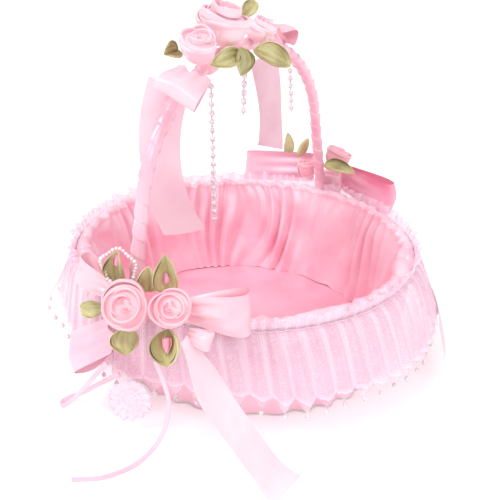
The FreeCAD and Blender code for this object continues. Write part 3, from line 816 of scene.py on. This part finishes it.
# ---------------- bows
def loop_points(length, height, width, pinch, lead, sag, seed):
    """A ribbon loop: out along X, round, and back, gathered where it enters the cluster by its lead."""
    phase = np.random.default_rng(seed).uniform(0, 6.28, 3)
    run, across = row_shares(60), col_shares(21)
    out = np.sin(math.pi * run) ** 0.9
    side = np.sin(2 * math.pi * run)
    x = mix(-lead, length, out) + 0.025 * length * np.cos(1.5 * across + phase[0]) * out
    belly = np.sign(side) * np.abs(side) ** 0.8 * (0.16 + 0.84 * out ** 0.6)
    gather = (1 - out) ** 1.4
    z = height / 2 * belly + 0.10 * height * np.sin(9 * across + phase[1]) * gather
    z = z + 0.05 * height * np.sin(3.1 * across + 5 * run + phase[2])
    z = z - sag * height * out * across ** 2
    y = width / 2 * across * mix(1.0, pinch, gather)
    return np.stack([x, y + 0 * run, z], axis=-1)


def add_ribbon(name, points, material, node, size, body=BASKET):
    """A ribbon; size is its flat width and length, and sets its UV map."""
    mesh = grid_mesh(name, points, size=size)
    piece = add_piece(name, mesh, material, body, [node], smooth=1)


def ribbon_name(node):
    """The visible piece's name: bow_top_loop_left becomes ribbon_loop_top_left."""
    _, place, kind, *side = node.split("_")
    return "_".join(["ribbon", kind, place, *side])


def make_loop(node, x_dir, z_dir, material, pinch=0.7, lead=0.0, sag=0.12):
    """A bow loop in its CAD strip's place; pinch is its width at the gathers, as a share."""
    name = ribbon_name(node)
    seat = Seat(node, x_dir, z_dir)
    length, width, height = seat.size
    points = seat.place(loop_points(length, height, width, pinch, lead, sag, name_seed(name)))
    add_ribbon(name, points, material, node, (width, 2 * length))


def make_knot(node, x_dir, z_dir, material, bore=0.0):
    """A gathered band of ribbon: soft pleats run along it, drawn in at both ends."""
    name = ribbon_name(node)
    seat = Seat(node, x_dir, z_dir)
    turn, along = around_ring(72), row_shares(20, first=-1.0)
    pleats = 1 + 0.05 * np.sin(7 * turn + 2 * np.sin(3 * turn)) + 0.03 * np.sin(13 * turn + 2 * along)
    end = np.maximum(bore / (min(seat.size[:2]) / 2), 0.05)
    draw_in = np.where(np.abs(along) > 0.9, mix(1.0, end, ease((np.abs(along) - 0.9) / 0.1)), 1.0)
    swell = pleats * (0.86 + 0.14 * np.cos(math.pi / 2 * along)) * draw_in
    band = ring_points(turn, *(seat.size[:2, None, None] / 2 * swell), seat.size[2] / 2 * along)
    points = seat.place(band + (seat.size[0] / 2, 0, 0))
    mesh = grid_mesh(name, points, around=True, size=(0.05, 0.014))
    add_piece(name, mesh, material, BASKET, [node], smooth=1)


# ---------------- cluster at the crown
def make_top_cluster():
    make_rose("rose_top_large", (0, 1, 0), (0.25, -0.15, 1), SATIN_TOP, 0.4, 6, 0.38, 0.1)
    make_rose("rose_top_left", (0, 1, 0.3), (0.35, -0.2, 1), SATIN_TOP, 2.0, 5, 0.3, 0.26)
    make_rose("rose_top_right", (0, 1, -0.15), (0.35, 0.35, 1), SATIN_TOP, 4.1, 5, 0.35)
    make_leaf("leaf_top_left", (-0.05, -1, -0.1), (0.9, -0.2, 0.6))
    make_leaf("leaf_top_front_a", (-0.33, -0.9, -0.2), (0.9, -0.3, 0.4))
    make_leaf("leaf_top_front_b", (0.1, -0.4, -0.9), (1, -0.3, 0.4))
    make_leaf("leaf_top_right", (0.5, 0.7, -0.5), (0.8, -0.4, 0.6))
    make_leaf("leaf_top_back", (-0.1, 0.9, 0.3), (0.7, -0.4, 0.8))
    make_loop("bow_top_loop_left", (0.242, -0.951, -0.206), (0.46, -0.075, 0.887), SATIN_BOW, pinch=0.8)
    make_loop("bow_top_loop_right", (-0.15, 1, -0.32), (0.15, 0.3, 1), SATIN_ROSE)
    make_knot("bow_top_knot", (1, 0, 0), (0, -0.958, -0.286), SATIN_ROSE, 4.2 * MM)


def make_tail(name, node, radius, low, high, spare, across, material, ripple, cut):
    """A wide ribbon hanging in its own plane along an arc; spare degrees of it run up under the cluster."""
    down, side = row_shares(64), col_shares(17)
    in_node = np.radians(mix(high + spare, low, down))
    angle = in_node + cut * side * ease((down - 0.9) / 0.1)
    reach = abs(radius) + WIDE / 2 * side
    w = math.copysign(1, radius) * (reach * np.cos(angle) - abs(radius))
    z = reach * np.sin(angle)
    proud = ripple * (np.sin(5.5 * down + 1.2 * side) * (0.3 + down) - 1.4 * side ** 2)
    plane = Vector(across).normalized()
    normal = plane.cross(Z_AXIS)
    points = spread(0.0, (w, np.array(plane)), (z, np.array(Z_AXIS)), (proud, np.array(normal)))
    low_corner, high_corner = np.array(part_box(node))
    seen = points[in_node[:, 0] <= math.radians(high)].reshape(-1, 3)
    points = points + (low_corner + high_corner) / 2 - (seen.min(axis=0) + seen.max(axis=0)) / 2
    size = (WIDE, abs(radius) * math.radians(high + spare - low))
    add_ribbon(name, points, material, node, size, body=node)


def make_top_tails():
    make_tail("ribbon_tail_left", "tail_top_left", -115 * MM, -27.5, 17.5, 4.5, (0.84, 0.54, 0),
              SATIN_MAUVE, 1.4 * MM, 0.04)
    # the right tail takes the darker copy of the mauve satin: painted shade
    make_tail("ribbon_tail_right", "tail_top_right", 190 * MM, -2.4, 16.0, 2.5, (0.2, 0.98, 0),
              SATIN_MAUVE_PAINTED_SHADE, 1.2 * MM, -0.02)


PEARL_PITCH = 5.6 * MM
FIRST_PEARL = 7.0 * MM    # from the thread's top to its first pearl


def make_strand(body):
    """A hanging string of pearls: a limp thread with a knot at its end, and a bead at each CAD bead."""
    points = node_points(body + "_thread")
    top = points[points[:, 2] > points[:, 2].max() - 0.3 * MM].mean(axis=0)
    foot = points[points[:, 2] < points[:, 2].min() + 0.3 * MM].mean(axis=0)
    length = float(np.linalg.norm(foot - top))
    along = (foot - top) / length
    count = round((length - 10.5 * MM) / PEARL_PITCH) + 1
    beads = []
    for i in range(count):
        spot = top + along * (FIRST_PEARL + i * PEARL_PITCH)
        beads.append(ball_mesh("bead", spot, 1.95 * MM, (1, 1, 0.96), around=16, rows=10))
        if i:
            beads.append(ball_mesh("spacer", spot - along * PEARL_PITCH / 2, 0.75 * MM, around=8, rows=5))
    beads.append(ball_mesh("knot", foot - along * 0.6 * MM, 0.6 * MM, around=8, rows=5))
    pearls = add_group(body + "_beads", beads, PEARL, body, [body + "_pearls"])
    curve = cord_curve(body + "_string", [top, mix(top, foot, 0.5), foot], 0.25 * MM)
    curve.data.materials.append(THREAD)
    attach(curve, body)
    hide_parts(body + "_thread")


def cord_curve(name, route, radius):
    """A cord as one open NURBS curve with the route's points as its control points."""
    data = bpy.data.curves.new(name, "CURVE")
    data.dimensions = "3D"
    spline = data.splines.new("NURBS")
    spline.points.add(len(route) - 1)
    for point, place in zip(spline.points, route):
        point.co = (*place, 1.0)
    spline.order_u = 3
    spline.use_endpoint_u = True
    data.resolution_u = 12
    data.bevel_depth = radius
    data.bevel_resolution = 3
    return linked(name, data)


def cord_line(route):
    """Points along the route's own NURBS spline."""
    curve = cord_curve("route", route, 0.0)
    bpy.context.view_layer.update()
    mesh = bpy.data.meshes.new_from_object(curve)
    line = [tuple(v.co) for v in mesh.vertices]
    bpy.data.objects.remove(curve)
    bpy.data.meshes.remove(mesh)
    return line


# ---------------- cluster at the front
def make_front_cluster():
    make_rose("rose_front_large", (0.88, 0.47, 0), (0.45, -0.85, 0.6), SATIN_ROSE_PALE, 1.0)
    make_rose("rose_front_small", (0.83, 0.55, 0), (0.5, -0.75, 0.65), SATIN_ROSE_PALE, 2.6)
    make_leaf("leaf_front_ringed", (0.1, 0.05, 1), (0.2, -1, 0.1), cup=0.4, bud_at=(0.6, 3.0 * MM))
    make_leaf("leaf_front_mid", (0, 0.05, 1), (0.5, -1, 0))
    make_leaf("leaf_front_tall", (-0.02, 0.06, 1), (0.6, -1, 0), cup=0.36, bud_at=(0.3, 2.6 * MM))
    make_leaf("leaf_front_left", (-1, 0.1, -0.37), (0.3, -1, 0.3))
    make_leaf("leaf_front_low", (0.2, -0.35, -0.9), (0.4, -1, 0.4))
    make_leaf("leaf_front_folded", (0.2, -0.32, -0.93), (0.5, -1, 0.4), cup=0.45, bud_at=(0.2, 3.6 * MM))
    make_seed_ring()
    make_loop("bow_front_loop_right", (0.93, 0.34, 0.1), (0.34, -0.93, 0.1),
              SATIN_ROSE, pinch=0.62, lead=8 * MM)
    make_loop("bow_front_loop_left", (-0.96, 0.15, 0.2), (-0.15, -0.98, 0.1), SATIN_ROSE, lead=4 * MM)
    make_loop("bow_front_lobe", (-0.78, 0.02, -0.6), (-0.3, -0.93, 0.35),
              SATIN_SKIRT, pinch=0.85, lead=6 * MM)
    make_loop("bow_front_loop_small", (0.95, 0.1, -0.05), (-0.1, -0.9, 0.4), SATIN_ROSE)


def make_seed_ring():
    """Seed pearls in a wavy ring round one leaf."""
    seat = Seat("seed_pearl_ring", (1, 0.4, 0), (0.4, -1, 0.1))
    ring_r = max(seat.size[:2]) / 2 - 1.1 * MM
    beads = []
    for turn in around_ring(30)[0]:
        reach = ring_r + 0.7 * MM * math.sin(5 * turn)
        local = (seat.size[0] / 2 + reach * math.cos(turn), reach * math.sin(turn),
                 0.9 * MM * math.sin(3 * turn))
        radius = random.uniform(0.95, 1.35) * MM
        beads.append(ball_mesh("seed", seat.place(local), radius, around=8, rows=6))
    add_group("seed_ring", beads, PEARL_SEED, nodes=["seed_pearl_ring"])


LONG_RIBBON = [
    (29, -136.5, 62), (36, -138, 51), (40, -139, 38), (38.5, -141, 24),
    (34.5, -146, 10), (29.5, -156, 1.9), (25, -169, 1.55), (16.5, -181, 1.55), (5, -188, 1.55),
]
RIBBON_LOOP = [
    (-4, -143, 52), (-15, -144.5, 38), (-29, -146, 20), (-42, -147, 5.5), (-51, -146, 1.7),
    (-51, -136.5, 1.8), (-38, -137, 10), (-18, -140, 28), (4, -141.5, 46),
]
NARROW = 3.0 * MM


def make_narrow_ribbon(name, node, route):
    """A narrow satin ribbon along its route: flat, with a thin oval section."""
    route = [tuple(value * MM for value in point) for point in route]
    line = cord_line(route)
    mesh = tube_mesh(name, line, NARROW / 2, sides=14, flat=0.2, up=(0.25, -1.0, 0.35))
    piece = add_piece(name, mesh, SATIN_SKIRT, BASKET, [node])


def make_front_ribbons():
    make_narrow_ribbon("narrow_ribbon_long", "ribbon_front_long", LONG_RIBBON)
    make_narrow_ribbon("narrow_ribbon_loop", "ribbon_front_loop", RIBBON_LOOP)
    make_wide_tail()
    make_medallion()


MEDALLION_AT = (8.3, -139.0, 26.8)


def make_medallion():
    """A round lace motif that hangs off the lace hem under the front cluster, edged with small loops."""
    centre = np.array(MEDALLION_AT) * MM
    side_dir, up_dir = np.array([0.84, 0.543, 0]), np.array([0.06, -0.10, 0.993])
    turn, reach = around_ring(240), row_shares(26, first=0.02)
    edge = 1 + 0.09 * np.abs(np.sin(7 * turn)) * reach ** 3
    bowl = 1.6 * MM * np.sin(7 * turn) ** 2 * reach ** 2 + 0.8 * MM * np.cos(3 * turn) * reach
    across, rise = 12 * MM * reach * edge * np.cos(turn), 15 * MM * reach * edge * np.sin(turn)
    points = spread(centre, (across, side_dir), (rise, up_dir), (bowl, np.cross(side_dir, up_dir)))
    mesh = grid_mesh("lace_medallion", points, around=True, size=(0.084, 0.014))
    piece = add_piece("lace_medallion", mesh, LACE_MEDAL, BASKET)
    picots = [tube_mesh("cord", points[row], 0.4 * MM, sides=6, closed=True) for row in (8, 15, 25)]
    for spot in points[-1][::10]:
        picots.append(ball_mesh("picot", spot, 0.85 * MM, around=8, rows=6))
    add_group("medallion_picots", picots, LACE_CORD)


WIDE_TAIL_AT = (54.0, -134.0, 0.0)
WIDE_TAIL = [(0, 75), (10, 54), (25, 34), (40, 16), (52, 1.0), (59, 0.7)]
TAIL_TUCK = (-5, 83)       # where the wide tail is gathered under the cluster


def make_wide_tail():
    """The wide ribbon that falls from the front cluster and lies out along the table."""
    origin = np.array(WIDE_TAIL_AT) * MM
    run_dir, side_dir = np.array([0.99, 0.14, 0.0]), np.array([-0.14, 0.99, 0.0])
    line = np.array(cord_line([(x * MM, 0, z * MM) for x, z in [TAIL_TUCK] + WIDE_TAIL]))
    share, across = row_shares(len(line)), col_shares(17)
    narrow = mix(0.3, 1.0, ease(share / 0.32))
    slant = 3.0 * MM * across * ease((share - 0.75) / 0.25)
    lift = 1.2 * MM * np.sin(7 * share) * across * (1 - share) + 1.0 * MM * (across ** 2) * (1 - share)
    points = spread(origin, (line[:, :1] + slant, run_dir), (WIDE / 2 * across * narrow, side_dir),
                    (line[:, 2:] + lift, np.array(Z_AXIS)))
    add_ribbon("ribbon_tail_wide", points, SATIN_PALE, "tail_front_wide", (WIDE, 0.105))


# ---------------- cluster at the back
def make_back_cluster():
    make_rose("rose_back_right", (0.96, 0, -0.27), (0.25, 0.3, 0.9), SATIN_ROSE_PALE, 0.2)
    make_rose("rose_back_left", (1, 0, 0), (0, 0.1, 1), SATIN_ROSE_PALE, 1.7)
    make_leaf("leaf_back_a", (-0.08, 0, 1), (-0.1, 1, 0.1))
    make_leaf("leaf_back_b", (0.42, 0, 0.9), (0.1, 1, 0.1))
    make_leaf("leaf_back_c", (0.97, -0.2, -0.1), (0.2, -0.5, 0.9))
    make_loop("bow_back_loop_left", (-0.98, -0.16, -0.1), (-0.16, 0.98, -0.2),
              SATIN_SKIRT, pinch=1.0, lead=8 * MM)
    make_loop("bow_back_loop_right", (0.93, -0.36, -0.03), (0.36, 0.93, -0.05),
              SATIN_HOT, pinch=0.85, lead=16 * MM)
    make_knot("bow_back_knot", (0, 1, 0), (1, 0, 0), SATIN_ROSE)
    make_back_tail()


def make_back_tail():
    """The wide ribbon that lies on the lace from the back cluster round to the right, cut on a slant."""
    share, across = row_shares(70), col_shares(13)
    turn = np.radians(mix(86.0, 9.0, share)) + 0.09 * across * ease((share - 0.8) / 0.2)
    z = MM * (mix(66.0, 23.0, share ** 1.1) + 12.2 * across * (1 - 0.25 * share))
    down = (SKIRT_TOP[2] - z) / (SKIRT_TOP[2] - SKIRT_HEM[2])
    stand = 2.4 * MM + 5.0 * MM * np.clip(down, 0, 1.2) * 0.6 + 0.8 * MM * np.sin(15 * share + 2 * across)
    points = cone_points(turn, SKIRT_TOP, SKIRT_HEM, down, stand, z)
    add_ribbon("ribbon_tail_back", points, SATIN_MAUVE, "tail_back_wide", (0.025, 0.17))


# ---------------- studio
SKY = (0.62, 0.8)         # brightness at the horizon and overhead
WHITE = (1.0, 1.0, 1.0, 1.0)
FLOOR_GLOW = 0.24         # keeps the shadows on the table pale
FLOOR_HALF = 6.0


def look_along(thing, direction):
    """Turns a lamp or camera to look along a direction."""
    thing.rotation_mode = "QUATERNION"
    thing.rotation_quaternion = Vector(direction).to_track_quat("-Z", "Y")


def add_sun(name, towards, strength, soft_degrees):
    """A wide soft lamp far away in the given direction, so that the floor is lit evenly."""
    data = bpy.data.lights.new(name, "SUN")
    data.energy = strength
    data.angle = math.radians(soft_degrees)
    look_along(linked(name, data), -Vector(towards))


def make_studio():
    """A white table with a faint glow of its own, two wide suns, and a sky that is brighter overhead."""
    shader = Shader("studio_floor")
    shader.set(Roughness=0.9, Specular_IOR_Level=0.1, Base_Color=(0.93, 0.93, 0.93, 1.0),
               Emission_Color=WHITE, Emission_Strength=FLOOR_GLOW)
    half = FLOOR_HALF
    corners = [[(-half, -half, 0), (half, -half, 0)], [(-half, half, 0), (half, half, 0)]]
    floor = linked("floor", grid_mesh("floor", corners))
    floor.data.materials.append(shader.material)
    world = bpy.data.worlds.new("studio")
    world.use_nodes = True
    nodes, links = world.node_tree.nodes, world.node_tree.links
    nodes["Background"].inputs["Color"].default_value = WHITE
    height = nodes.new("ShaderNodeSeparateXYZ")
    links.new(nodes.new("ShaderNodeTexCoord").outputs["Generated"], height.inputs[0])
    rise = nodes.new("ShaderNodeMapRange")
    links.new(height.outputs["Z"], rise.inputs["Value"])
    rise.inputs["To Min"].default_value, rise.inputs["To Max"].default_value = SKY
    links.new(rise.outputs["Result"], nodes["Background"].inputs["Strength"])
    bpy.context.scene.world = world
    add_sun("key", (-0.3, -0.5, 1.0), 1.2, 24.0)
    add_sun("fill", (0.8, -0.4, 0.9), 0.7, 35.0)
    bpy.context.scene.view_settings.view_transform = "Standard"


CAMERA_PLACE = (0.24728, -0.37469, 0.29316)
CAMERA_AIM = (0.003788, 0.002445, 0.068019)
CAMERA_LENS = 48.82


def make_camera():
    data = bpy.data.cameras.new("camera")
    data.lens = CAMERA_LENS
    data.sensor_width = 36.0
    data.clip_start = 0.01
    camera = linked("camera", data)
    camera.location = CAMERA_PLACE
    look_along(camera, Vector(CAMERA_AIM) - Vector(CAMERA_PLACE))
    bpy.context.scene.camera = camera


make_camera()
make_studio()
dress_cad_nodes()
make_lining()
make_floor_pad()
make_underskirt()
make_skirts()
make_header()
make_handle_wrap()
make_top_cluster()
make_top_tails()
for strand_body in ("strand_left", "strand_mid_a", "strand_mid_b", "strand_right"):
    make_strand(strand_body)
make_front_cluster()
make_front_ribbons()
make_back_cluster()
